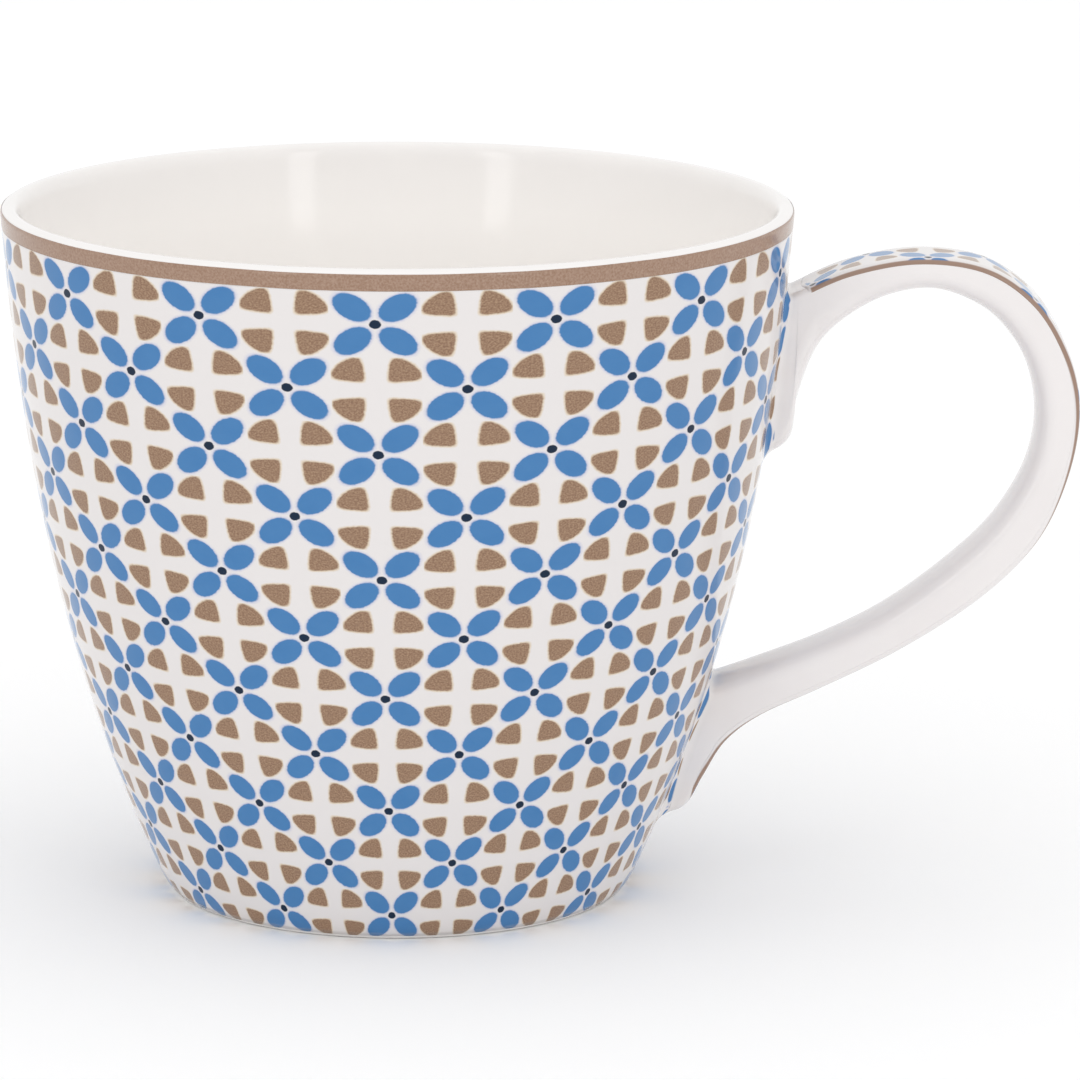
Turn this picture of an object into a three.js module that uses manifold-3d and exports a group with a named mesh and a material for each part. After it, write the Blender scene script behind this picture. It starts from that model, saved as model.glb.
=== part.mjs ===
// Printed ceramic mug: a cast cup with a turned foot ring, an ear-shaped strap handle luted on with
// slip, two printed sheets round the wall, a painted band under the lip and a printed strip on the
// handle. Millimetres, +Z up. The origin is on the cup's axis, in the plane that the foot ring
// stands on, and +X points at the handle.
import * as THREE from "three";
import { mergeVertices } from "three/addons/utils/BufferGeometryUtils.js";
import Module from "manifold-3d";

// Cup
const CUP_HEIGHT = 88;         // standing plane to the crest of the lip
const RIM_RADIUS = 49.8;       // outside of the wall where the lip's rounding starts
const LIP_THICKNESS = 2.6;     // the lip is half an ellipse, this thick
const LIP_RISE = 0.8;          // and this high
const HEEL_RADIUS = 30.8;      // outside of the wall at the top of the heel's rounding
const HEEL_HEIGHT = 3.2;
const RIM_SLOPE = 0.075;       // outward run per rise of the outer wall at the rim
const HEEL_SLOPE = 0.45;       // and at the heel
const WALL_THICKNESS = 3;      // at the foot of the wall
const FLOOR_THICKNESS = 4;
const FLOOR_CORNER = 9;        // rounding between the inside wall and the floor
const FOOT_SETBACK = 2.5;      // from there in to the outer edge of the face that the cup stands on
const FOOT_WIDTH = 3;
const FOOT_DEPTH = 2;          // height of the hollow inside the foot ring
const FOOT_EDGE = 0.8;         // rounding of the foot ring's inner edge

// Handle: a strap whose outer and inner faces follow two guide curves in the plane Y = 0.
// Each guide point is [distance out from the cup's wall, height], both as shares of the loop.
const HANDLE_REACH = 39.1;     // from the wall to the outermost point of the loop
const HANDLE_TOP_DROP = 6.1;   // from the crest of the lip down to the top of the loop
const HANDLE_TOE_RISE = 10.5;  // from the standing plane up to the lower root's toe
const HANDLE_WIDTH = 10;
const HANDLE_EDGE_IN = 1.4;    // rounding of the strap's edges, seen from the side
const HANDLE_EDGE_ACROSS = 2;  // and across the width
const OUTER_GUIDE = [
  [-0.07, 0.905], [0.033, 0.938], [0.2, 0.979], [0.414, 1], [0.63, 0.984], [0.8, 0.926],
  [0.918, 0.84], [0.985, 0.745], [0.997, 0.64], [0.96, 0.525], [0.88, 0.442], [0.75, 0.365],
  [0.56, 0.286], [0.36, 0.222], [0.2, 0.174], [0.115, 0.125], [0.085, 0.06], [0.066, 0.008],
  [0, -0.008], [-0.07, -0.02],
];
const INNER_GUIDE = [
  [-0.07, 0.636], [0.02, 0.645], [0.078, 0.675], [0.078, 0.74], [0.115, 0.828], [0.19, 0.882],
  [0.315, 0.925], [0.458, 0.94], [0.59, 0.92], [0.7, 0.88], [0.8, 0.808], [0.855, 0.715],
  [0.85, 0.62], [0.78, 0.525], [0.66, 0.444], [0.5, 0.365], [0.33, 0.309], [0.16, 0.268],
  [0.031, 0.24], [-0.07, 0.22],
];

// Luting slip between each root and the wall
const SLIP_THICKNESS = 0.4;
const SLIP_GAP = 0.25;         // clearance on each side of the slip
const SLIP_MARGIN = 0.8;       // how far the slip spreads past the root all round

// Fired prints: thin skins that stand for ink a few hundredths thick
const PRINT_GAP = 0.06;
const PRINT_THICKNESS = 0.14;
const BAND_BOTTOM = 2.5;       // below the crest of the lip
const BAND_LIP_TURN = 0.4;     // radians that the band runs up the lip's rounding
const SHEET_TOP = 2.7;         // below the crest of the lip; the sheet's lower edge is on the heel
const SHEET_SEAM = 0.5;        // width of the seam between the two sheets
const SHEET_CLEARANCE = 0.6;   // round the slip at each root
const STRIP_MARGIN = 1;        // glaze left bare along each edge of the strap
const STRIP_START = 0.07;      // shares of the outer guide's length where the strip starts and ends
const STRIP_END = 0.93;

// Fineness of the faceted solids
const ROUND = 60;              // facets round the cup
const WALL_STEPS = 9;
const HEEL_STEPS = 3;
const ARC_STEPS = 4;
const GUIDE_STEPS = 44;

const wasm = await Module();
wasm.setup();

const V2 = (x, y) => new THREE.Vector2(x, y);

/** A manifold solid from a closed three.js geometry. */
function toSolid(geometry) {
  const bare = geometry.index ? geometry.toNonIndexed() : geometry.clone();
  bare.deleteAttribute("normal");
  bare.deleteAttribute("uv");
  const welded = mergeVertices(bare, 1e-4);
  const index = welded.index.array;
  const triangles = [];
  for (let i = 0; i < index.length; i += 3) {
    const [a, b, c] = [index[i], index[i + 1], index[i + 2]];
    if (a !== b && b !== c && c !== a) triangles.push(a, b, c);
  }
  return new wasm.Manifold(new wasm.Mesh({
    numProp: 3,
    vertProperties: new Float32Array(welded.attributes.position.array),
    triVerts: new Uint32Array(triangles),
  }));
}

/** A three.js geometry from a manifold solid. */
function toGeometry(solid) {
  const mesh = solid.getMesh();
  const geometry = new THREE.BufferGeometry();
  const positions = new Float32Array(mesh.vertProperties);
  geometry.setAttribute("position", new THREE.BufferAttribute(positions, 3));
  geometry.setIndex(new THREE.BufferAttribute(new Uint32Array(mesh.triVerts), 1));
  const flat = geometry.toNonIndexed();
  flat.computeVertexNormals();
  return flat;
}

/** Turns [radius, height] points round the cup's axis, which is +Z. */
function revolve(profile) {
  return new THREE.LatheGeometry(profile, ROUND).rotateX(Math.PI / 2);
}

/** Extrudes a shape drawn in X and Z across Y, centred on Y = 0. */
function extrudeAcross(shape, width, edge) {
  const options = { depth: width, bevelEnabled: false, steps: 1 };
  if (edge) {
    options.depth = width - 2 * edge.across;
    options.bevelEnabled = true;
    options.bevelSegments = 3;
    options.bevelThickness = edge.across;
    options.bevelSize = edge.in;
    options.bevelOffset = -edge.in;
  }
  return new THREE.ExtrudeGeometry(shape, options)
    .translate(0, 0, -options.depth / 2)
    .rotateX(Math.PI / 2);
}

/** Points on an elliptical arc, from and to in radians, both ends included. */
function arc(cx, cy, rx, ry, from, to, steps = ARC_STEPS) {
  return Array.from({ length: steps + 1 }, (_, i) => {
    const angle = from + (to - from) * (i / steps);
    return V2(cx + rx * Math.cos(angle), cy + ry * Math.sin(angle));
  });
}

// Outer wall: one cubic curve from the heel to the rim, leaving each end at its own slope.
const rimHeight = CUP_HEIGHT - LIP_RISE;
const lipCentre = V2(RIM_RADIUS - LIP_THICKNESS / 2, rimHeight);
const third = (rimHeight - HEEL_HEIGHT) / 3;
const outerWall = new THREE.CubicBezierCurve(
  V2(HEEL_RADIUS, HEEL_HEIGHT),
  V2(HEEL_RADIUS + HEEL_SLOPE * third, HEEL_HEIGHT + third),
  V2(RIM_RADIUS - RIM_SLOPE * third, rimHeight - third),
  V2(RIM_RADIUS, rimHeight),
);

// Heel: a quadratic curve that turns the wall in to the foot ring's standing face.
const footRadius = HEEL_RADIUS - FOOT_SETBACK;
const heel = new THREE.QuadraticBezierCurve(
  V2(footRadius, 0),
  V2(HEEL_RADIUS - HEEL_SLOPE * HEEL_HEIGHT, 0),
  V2(HEEL_RADIUS, HEEL_HEIGHT),
);

/** The outer wall's point at a height: its curve rises evenly, so height gives the parameter. */
function wallAt(height) {
  return outerWall.getPoint((height - HEEL_HEIGHT) / (rimHeight - HEEL_HEIGHT));
}

/** The outer wall's outward normal at a height. */
function wallNormal(height) {
  const tangent = outerWall.getTangent((height - HEEL_HEIGHT) / (rimHeight - HEEL_HEIGHT));
  return V2(tangent.y, -tangent.x);
}

const bandBottom = CUP_HEIGHT - BAND_BOTTOM;
const sheetTop = CUP_HEIGHT - SHEET_TOP;
const sheetHeights = Array.from({ length: WALL_STEPS + 1 },
  (_, i) => HEEL_HEIGHT + (sheetTop - HEEL_HEIGHT) * (i / WALL_STEPS));

/** Outward normals along the heel, at the same steps as its points. */
const heelNormals = heel.getPoints(HEEL_STEPS).map((_, i) => {
  const tangent = heel.getTangent(i / HEEL_STEPS);
  return V2(tangent.y, -tangent.x);
});

/** The cup: foot ring, heel, outer wall, lip, inside wall and floor as one turned profile. */
function cupGeometry() {
  const footInner = footRadius - FOOT_WIDTH;
  const floorTop = FOOT_DEPTH + FLOOR_THICKNESS;
  const cornerTop = floorTop + FLOOR_CORNER;
  const cornerOuter = wallAt(cornerTop).x - WALL_THICKNESS;
  const innerThird = (rimHeight - cornerTop) / 3;
  const innerWall = new THREE.CubicBezierCurve(
    V2(RIM_RADIUS - LIP_THICKNESS, rimHeight),
    V2(RIM_RADIUS - LIP_THICKNESS - RIM_SLOPE * innerThird, rimHeight - innerThird),
    V2(cornerOuter + 0.8 * HEEL_SLOPE * innerThird, cornerTop + innerThird),
    V2(cornerOuter, cornerTop),
  );
  const lip = arc(lipCentre.x, lipCentre.y, LIP_THICKNESS / 2, LIP_RISE, 0, Math.PI, 6);
  return revolve([
    V2(0, FOOT_DEPTH),
    ...arc(footInner - FOOT_EDGE, FOOT_DEPTH - FOOT_EDGE, FOOT_EDGE, FOOT_EDGE, Math.PI / 2, 0, 2),
    V2(footInner, 0),
    ...heel.getPoints(HEEL_STEPS),
    ...sheetHeights.slice(1).map(wallAt),
    wallAt(bandBottom),
    ...lip,
    ...innerWall.getPoints(8).slice(1),
    ...arc(cornerOuter - FLOOR_CORNER, cornerTop, FLOOR_CORNER, FLOOR_CORNER, 0, -Math.PI / 2).slice(1),
    V2(0, floorTop),
  ]);
}

/** A closed profile that lies a set distance off a run of [point, normal] pairs. */
function skinProfile(run) {
  const offset = (distance) => run.map(([p, n]) => V2(p.x + n.x * distance, p.y + n.y * distance));
  const near = offset(PRINT_GAP);
  const far = offset(PRINT_GAP + PRINT_THICKNESS).reverse();
  return [...near, ...far, near[0].clone()];
}

/** The painted band: up the top of the wall and a little way round the lip. */
function bandGeometry() {
  const half = LIP_THICKNESS / 2;
  const onLip = arc(lipCentre.x, lipCentre.y, half, LIP_RISE, 0, BAND_LIP_TURN, 2);
  const lipRun = onLip.map((point) => {
    const from = point.clone().sub(lipCentre);
    return [point, V2(from.x / half ** 2, from.y / LIP_RISE ** 2).normalize()];
  });
  return revolve(skinProfile([[wallAt(bandBottom), wallNormal(bandBottom)], ...lipRun]).reverse());
}

/** Everything inside the outer wall pushed out by a distance, as a solid to cut with. */
function wallSolid(distance) {
  const reach = 10;
  const side = [...sheetHeights, rimHeight].map((h) => {
    const n = wallNormal(h);
    return wallAt(h).addScaledVector(n, distance);
  });
  const low = wallAt(HEEL_HEIGHT);
  return toSolid(revolve([
    V2(0, -reach), V2(low.x + distance - HEEL_SLOPE * reach, -reach), ...side,
    V2(RIM_RADIUS + distance, CUP_HEIGHT + reach), V2(0, CUP_HEIGHT + reach),
  ]));
}

// Handle guides in X and Z, tied to the wall behind them
const handleTop = CUP_HEIGHT - HANDLE_TOP_DROP;
const guidePoint = ([out, up]) => {
  const height = HANDLE_TOE_RISE + (handleTop - HANDLE_TOE_RISE) * up;
  return V2(wallAt(height).x + HANDLE_REACH * out, height);
};
const outerGuide = new THREE.SplineCurve(OUTER_GUIDE.map(guidePoint));
const innerGuide = new THREE.SplineCurve(INNER_GUIDE.map(guidePoint));

/** The strap seen from the side: down the outer guide and back up the inner one. */
function handleOutline() {
  const outer = outerGuide.getSpacedPoints(GUIDE_STEPS);
  const inner = innerGuide.getSpacedPoints(GUIDE_STEPS);
  return new THREE.Shape([...outer, ...inner.reverse()]);
}

/** A rounded plate in Y and Z that covers a root, grown by a margin and running out along X. */
function rootPlate(low, high, margin) {
  const half = HANDLE_WIDTH / 2 + margin;
  const bottom = low - margin;
  const top = high + margin;
  const round = half * 0.6;
  const shape = new THREE.Shape();
  shape.moveTo(half, bottom + round);
  shape.lineTo(half, top - round);
  shape.absarc(half - round, top - round, round, 0, Math.PI / 2, false);
  shape.absarc(-half + round, top - round, round, Math.PI / 2, Math.PI, false);
  shape.absarc(-half + round, bottom + round, round, Math.PI, 1.5 * Math.PI, false);
  shape.absarc(half - round, bottom + round, round, 1.5 * Math.PI, 2 * Math.PI, false);
  const options = { depth: RIM_RADIUS + HANDLE_REACH, bevelEnabled: false, curveSegments: 4 };
  return toSolid(new THREE.ExtrudeGeometry(shape, options)
    .rotateX(Math.PI / 2)
    .rotateZ(Math.PI / 2));
}

const rootSpan = (topIndex, guideTop, bottomIndex, guideBottom) => [
  guidePoint(guideBottom[bottomIndex]).y, guidePoint(guideTop[topIndex]).y,
];
const upperRoot = rootSpan(0, OUTER_GUIDE, 0, INNER_GUIDE);
const lowerRoot = rootSpan(INNER_GUIDE.length - 1, INNER_GUIDE, OUTER_GUIDE.length - 1, OUTER_GUIDE);

/** The handle: the rounded strap with both roots cut to the wall, clear of the slip. */
function handleGeometry() {
  const edge = { in: HANDLE_EDGE_IN, across: HANDLE_EDGE_ACROSS };
  const strap = toSolid(extrudeAcross(handleOutline(), HANDLE_WIDTH, edge));
  return toGeometry(strap.subtract(wallSolid(2 * SLIP_GAP + SLIP_THICKNESS)));
}

/** A bed of slip between the wall and one root. */
function slipGeometry(root) {
  const shell = wallSolid(SLIP_GAP + SLIP_THICKNESS).subtract(wallSolid(SLIP_GAP));
  return toGeometry(shell.intersect(rootPlate(...root, SLIP_MARGIN)));
}

/** One printed sheet: half of a thin skin on the wall, cut round the roots. */
function sheetGeometry(side) {
  const onHeel = heel.getPoints(HEEL_STEPS).map((point, i) => [point, heelNormals[i]]);
  const onWall = sheetHeights.map((h) => [wallAt(h), wallNormal(h)]);
  const run = [...onHeel.slice(1, -1), ...onWall];
  const ring = toSolid(revolve(skinProfile(run).reverse()));
  const size = 4 * RIM_RADIUS;
  const half = new THREE.BoxGeometry(size, size, size)
    .translate(0, side * (size + SHEET_SEAM) / 2, CUP_HEIGHT / 2);
  const margin = SLIP_MARGIN + SHEET_CLEARANCE;
  return toGeometry(ring
    .intersect(toSolid(half))
    .subtract(rootPlate(...upperRoot, margin))
    .subtract(rootPlate(...lowerRoot, margin)));
}

/** The printed strip: a ribbon that follows the strap's outer face, facet by facet. */
function stripGeometry() {
  const points = outerGuide.getSpacedPoints(GUIDE_STEPS);
  const first = Math.round(STRIP_START * GUIDE_STEPS);
  const last = Math.round(STRIP_END * GUIDE_STEPS);
  const run = points.slice(first, last + 1).map((point, i) => {
    const along = points[first + i + 1].clone().sub(points[first + i - 1]).normalize();
    return [point, V2(-along.y, along.x)];
  });
  const outline = skinProfile(run).slice(0, -1);
  return extrudeAcross(new THREE.Shape(outline), HANDLE_WIDTH - 2 * STRIP_MARGIN);
}

const glaze = { color: 0xf3f1f0, roughness: 0.12, metalness: 0 };
const finishes = {
  glaze,
  slip: { color: 0xece8e4, roughness: 0.35, metalness: 0 },
  print: { color: 0xa6b4c8, roughness: 0.18, metalness: 0 },
  band: { color: 0x9d7e6a, roughness: 0.25, metalness: 0 },
};

const mug = new THREE.Group();

/** Adds one named piece to the mug. */
function addPiece(name, geometry, finish) {
  const mesh = new THREE.Mesh(geometry, new THREE.MeshStandardMaterial(finishes[finish]));
  mesh.name = name;
  mug.add(mesh);
}

addPiece("cup_body", cupGeometry(), "glaze");
addPiece("handle", handleGeometry(), "glaze");
addPiece("upper_slip_joint", slipGeometry(upperRoot), "slip");
addPiece("lower_slip_joint", slipGeometry(lowerRoot), "slip");
addPiece("wall_transfer_front", sheetGeometry(-1), "print");
addPiece("wall_transfer_back", sheetGeometry(1), "print");
addPiece("rim_band", bandGeometry(), "band");
addPiece("handle_transfer", stripGeometry(), "print");

export default mug;
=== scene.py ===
"""Printed ceramic mug: the finished surfaces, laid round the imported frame.

A turned stoneware cup with a foot ring, an ear-shaped strap handle luted on with a bead of slip
at each root, two printed transfers round the wall, a painted band under the lip and a printed
strip on the handle. Sizes in the classes are millimetres, and put_mesh() turns them to metres.
+X points at the handle, +Z up, and the origin is on the cup's axis in the standing plane. An
azimuth is a turn from -Y towards +X, in degrees, and a run is a distance along a surface.
"""

import logging
import math
from dataclasses import dataclass
from enum import Enum

import bpy
import numpy as np
from mathutils import Matrix, Vector


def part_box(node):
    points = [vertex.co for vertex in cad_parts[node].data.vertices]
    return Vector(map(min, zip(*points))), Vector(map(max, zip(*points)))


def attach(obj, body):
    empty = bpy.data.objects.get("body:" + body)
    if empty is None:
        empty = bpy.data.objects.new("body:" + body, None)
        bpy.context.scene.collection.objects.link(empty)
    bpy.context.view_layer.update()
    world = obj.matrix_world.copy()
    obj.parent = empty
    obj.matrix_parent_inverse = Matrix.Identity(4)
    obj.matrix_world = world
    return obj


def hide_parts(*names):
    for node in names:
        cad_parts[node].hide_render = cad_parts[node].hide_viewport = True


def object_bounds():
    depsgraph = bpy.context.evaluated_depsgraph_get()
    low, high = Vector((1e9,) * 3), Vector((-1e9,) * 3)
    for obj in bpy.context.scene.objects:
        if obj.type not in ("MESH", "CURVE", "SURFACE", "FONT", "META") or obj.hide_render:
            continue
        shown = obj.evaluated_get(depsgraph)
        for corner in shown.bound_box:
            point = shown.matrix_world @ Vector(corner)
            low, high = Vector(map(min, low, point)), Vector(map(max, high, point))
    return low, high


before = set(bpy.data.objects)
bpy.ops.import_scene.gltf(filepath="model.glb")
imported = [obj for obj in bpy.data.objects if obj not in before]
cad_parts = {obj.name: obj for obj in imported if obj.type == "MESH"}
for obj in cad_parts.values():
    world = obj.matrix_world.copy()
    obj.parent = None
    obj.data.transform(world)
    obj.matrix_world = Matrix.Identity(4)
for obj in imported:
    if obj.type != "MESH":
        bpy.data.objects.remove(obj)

CAD_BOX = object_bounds()
MM = 0.001
LOG = logging.getLogger("mug")
SHARP_ANGLE = 50
Array = np.ndarray
Pair = tuple[float, float]
Object, Material = bpy.types.Object, bpy.types.Material
Tree, Socket = bpy.types.NodeTree, bpy.types.NodeSocket
Coat = dict[str, Socket]


# ---- curves and meshes


def bezier(points: list[Pair], t: Array) -> Array:
    """Points on a Bezier curve of any degree, by folding neighbouring points together.

    Args:
        points: Control points, first and last on the curve.
        t: Parameters from 0 to 1.

    Returns:
        One [radius, height] row for each parameter.
    """
    t = t[:, None]
    level = [np.array(point) for point in points]
    while len(level) > 1:
        level = [(1 - t) * a + t * b for a, b in zip(level, level[1:])]
    return level[0]


def arc(centre: Pair, radii: Pair, turn: Pair,
        count: int) -> Array:
    """Points on an elliptical arc: centre plus radii times cosine and sine.

    Args:
        centre: Middle of the ellipse.
        radii: Half its width and half its height.
        turn: First and last angle in degrees.
        count: How many points, both ends included.

    Returns:
        One [radius, height] row for each point.
    """
    angle = np.radians(np.linspace(*turn, count))
    return np.stack([centre[0] + radii[0] * np.cos(angle),
                     centre[1] + radii[1] * np.sin(angle)], 1)


def spline(points: Array, at: Array) -> Array:
    """A uniform Catmull-Rom curve through points, read at fractional point numbers.

    Each span is a cubic whose slope at a point is half the step between that point's neighbours.

    Args:
        points: The points that the curve passes through, one in each row.
        at: Fractional point numbers, from 0 to the last.

    Returns:
        One row for each number.
    """
    last = len(points) - 1
    low = np.clip(np.floor(at).astype(int), 0, last - 1)
    w = (at - low)[:, None]
    before, start, stop, after = (points[np.clip(low + k, 0, last)] for k in (-1, 0, 1, 2))
    leave, arrive = (stop - before) / 2, (after - start) / 2
    return ((2 * start - 2 * stop + leave + arrive) * w ** 3
            + (-3 * start + 3 * stop - 2 * leave - arrive) * w ** 2 + leave * w + start)


def around(azimuth: Array | float, out: Array | float,
           up: Array | float) -> Array:
    """[x, y, z] at an azimuth, a distance out from the axis and a height up it."""
    turn = np.radians(azimuth)
    return np.stack(np.broadcast_arrays(out * np.sin(turn), -out * np.cos(turn), up), -1)


def azimuth_of(points: Array) -> Array:
    """The azimuth of each point."""
    return np.degrees(np.arctan2(points[..., 0], -points[..., 1]))


def unit(vectors: Array) -> Array:
    """The same directions with a length of 1."""
    return vectors / np.linalg.norm(vectors, axis=-1, keepdims=True)


def run_along(points: Array) -> Array:
    """How far along its line each point is, the lines going down the array's first axis."""
    steps = np.linalg.norm(np.diff(points, axis=0), axis=-1)
    return np.concatenate([np.zeros_like(steps[:1]), np.cumsum(steps, axis=0)])


def grid_quads(rows: int, columns: int, wrap_rows: bool = False,
               wrap_columns: bool = False) -> Array:
    """Numbers the corners of the quads between neighbouring points of a grid.

    Args:
        rows: How many rows the grid has.
        columns: How many columns.
        wrap_rows: Join the last row to the first.
        wrap_columns: Join the last column to the first.

    Returns:
        Four point numbers for each quad.
    """
    r = np.arange(rows - (not wrap_rows))[:, None]
    c = np.arange(columns - (not wrap_columns))[None, :]
    r2, c2 = (r + 1) % rows, (c + 1) % columns
    corners = [r * columns + c, r * columns + c2, r2 * columns + c2, r2 * columns + c]
    return np.stack(corners, -1).reshape(-1, 4)


def end_fans(rows: int, columns: int) -> Array:
    """Numbers the triangles that close a tube's first and last ring, each to its own tip.

    Args:
        rows: How many rings the tube has.
        columns: How many points each ring has.

    Returns:
        Three point numbers for each triangle. The two tips come after the grid's points.
    """
    ring = np.arange(columns)
    fans = [np.stack([loop, np.roll(loop, -1), np.full(columns, rows * columns + tip)], 1)
            for tip, loop in enumerate((ring[::-1], ring + (rows - 1) * columns))]
    return np.concatenate(fans)


def put_object(name: str, data: bpy.types.ID) -> Object:
    """Makes an object of a mesh, light or camera and links it to the scene.

    Args:
        name: The object's name.
        data: Its mesh, light or camera.

    Returns:
        The linked object.
    """
    made = bpy.data.objects.new(name, data)
    bpy.context.scene.collection.objects.link(made)
    return made


def put_mesh(name: str, finish: Material, points: Array, quads: Array,
             triangles: Array | None = None,
             maps: dict[str, Array] | None = None) -> Object:
    """Makes a smooth-shaded mesh object from whole arrays, its faces outwards.

    A shell whose signed volume comes out negative has its faces turned round.

    Args:
        name: The piece's name.
        finish: Its material.
        points: One [x, y, z] row in millimetres for each vertex.
        quads: Four vertex numbers for each quad.
        triangles: Three vertex numbers for each triangle, if there are any.
        maps: UV maps by name, one [u, v] row for each vertex.

    Returns:
        The linked object.
    """
    triangles = np.zeros((0, 3), int) if triangles is None else triangles
    halves = np.concatenate([quads[:, :3], quads[:, [0, 2, 3]], triangles])
    a, b, c = points[halves].swapaxes(0, 1)
    if (a * np.cross(b, c)).sum() < 0:
        quads, triangles = quads[:, ::-1], triangles[:, ::-1]
    mesh = bpy.data.meshes.new(name)
    mesh.from_pydata(points * MM, [], quads.tolist() + triangles.tolist(), shade_flat=False)
    mesh.set_sharp_from_angle(angle=math.radians(SHARP_ANGLE))
    corners = np.concatenate([quads.ravel(), triangles.ravel()])
    for title, coordinates in (maps or {}).items():
        layer = mesh.uv_layers.new(name=title)
        layer.data.foreach_set("uv", coordinates[corners].astype(np.float32).ravel())
    mesh.materials.append(finish)
    return put_object(name, mesh)


def thicken(piece: Object, thickness: float) -> None:
    """Makes a skin a closed shell, shaded by its broad faces.

    Args:
        piece: The skin, with its finished side outwards.
        thickness: Depth in millimetres, inwards.
    """
    solid = piece.modifiers.new("thickness", "SOLIDIFY")
    solid.thickness, solid.offset = thickness * MM, -1
    piece.modifiers.new("broad_faces_first", "WEIGHTED_NORMAL").weight = 100


def ring_inside(points: Array, ring: Array) -> Array:
    """Finds the points whose sideways ray crosses a closed ring an odd number of times.

    Args:
        points: One [x, y] row for each point.
        ring: The ring's corners, in order.

    Returns:
        True for each point inside.
    """
    x, y = points[:, :1], points[:, 1:]
    (x0, y0), (x1, y1) = ring.T, np.roll(ring, -1, axis=0).T
    crossing = x0 + (y - y0) * (x1 - x0) / np.where(y1 == y0, 1.0, y1 - y0)
    return (((y0 > y) != (y1 > y)) & (x < crossing)).sum(1) % 2 == 1


# ---- shader nodes


def hex_to_linear(code: str) -> tuple[float, float, float, float]:
    """Turns an sRGB hex colour into linear red, green and blue, with full alpha.

    Args:
        code: The colour as #RRGGBB.

    Returns:
        Linear red, green, blue and alpha.
    """
    share = np.array([int(code[i:i + 2], 16) for i in (1, 3, 5)]) / 255
    linear = np.where(share <= 0.04045, share / 12.92, ((share + 0.055) / 1.055) ** 2.4)
    return (*(float(v) for v in linear), 1.0)


def add_node(tree: Tree, kind: str, inputs: dict[str | int, object]) -> bpy.types.Node:
    """Adds one shader node.

    Args:
        tree: The tree that it goes in.
        kind: The node's type, without the ShaderNode prefix.
        inputs: Attribute values by name, and values or output sockets by input name or number.

    Returns:
        The new node.
    """
    node = tree.nodes.new("ShaderNode" + kind)
    for key, value in inputs.items():
        if isinstance(value, Socket):
            tree.links.new(value, node.inputs[key])
        elif isinstance(key, str) and hasattr(node, key):
            setattr(node, key, value)
        else:
            node.inputs[key].default_value = value
    return node


def maths(tree: Tree, operation: str, *inputs: Socket | float) -> Socket:
    """The result of a Math node, from its inputs in their order."""
    return add_node(tree, "Math", {"operation": operation, **dict(enumerate(inputs))}).outputs[0]


def vector(tree: Tree, operation: str, *inputs: Socket | tuple[float, ...]) -> Socket:
    """The result of a Vector Math node, from its inputs in their order."""
    node = add_node(tree, "VectorMath", {"operation": operation, **dict(enumerate(inputs))})
    return node.outputs["Value" if operation in ("DOT_PRODUCT", "LENGTH") else "Vector"]


def split(tree: Tree, at: Socket) -> list[Socket]:
    """The three numbers of a vector."""
    return list(add_node(tree, "SeparateXYZ", {0: at}).outputs)


def ramp(tree: Tree, value: Socket, span: Pair, to: Pair = (0.0, 1.0),
         curve: str = "LINEAR") -> Socket:
    """Maps a span of a value to another span, and no further than its ends.

    Args:
        tree: The tree that it goes in.
        value: What is mapped.
        span: The values that give the result's two ends.
        to: The result's two ends.
        curve: LINEAR for an even map, or SMOOTHSTEP for one eased at both ends.

    Returns:
        The result's socket.
    """
    ends = dict(zip(("From Min", "From Max", "To Min", "To Max"), (*span, *to)))
    return add_node(tree, "MapRange", {"interpolation_type": curve, **ends,
                                       "Value": value}).outputs[0]


def edge(tree: Tree, value: Socket, span: Pair) -> Socket:
    """A soft edge: 0 at the span's first value, 1 at its second, and eased between them."""
    return ramp(tree, value, span, curve="SMOOTHSTEP")


def noise(tree: Tree, at: Socket, size: float, detail: float = 2.0) -> Socket:
    """Cloudy noise whose lumps are about size across, in the units of the place given."""
    return add_node(tree, "TexNoise", {"Scale": 1 / size, "Detail": detail, "Roughness": 0.55,
                                       "Vector": at}).outputs[0]


def blend(tree: Tree, under: Socket | str, over: Socket | str, cover: Socket) -> Socket:
    """Lays one colour, a socket or a hex code, over another where cover is 1."""
    a, b = (hex_to_linear(c) if isinstance(c, str) else c for c in (under, over))
    return add_node(tree, "Mix", {"data_type": "RGBA", 0: cover, 6: a, 7: b}).outputs[2]


class Coordinates(Enum):
    """Where a finish reads its place from."""

    OBJECT = "Object"
    CELLS = "cells"
    ACROSS = "across"
    # Share of the painted light inside the bowl.
    POOL = "pool"


def place(tree: Tree, source: Coordinates) -> Socket:
    """Reads a point's place in the coordinates asked for.

    Args:
        tree: The tree that it goes in.
        source: The coordinates.

    Returns:
        The place's socket.
    """
    if source is Coordinates.OBJECT:
        return add_node(tree, "TexCoord", {}).outputs[source.value]
    return add_node(tree, "UVMap", {"uv_map": source.value}).outputs["UV"]


# ---- finishes


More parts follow.
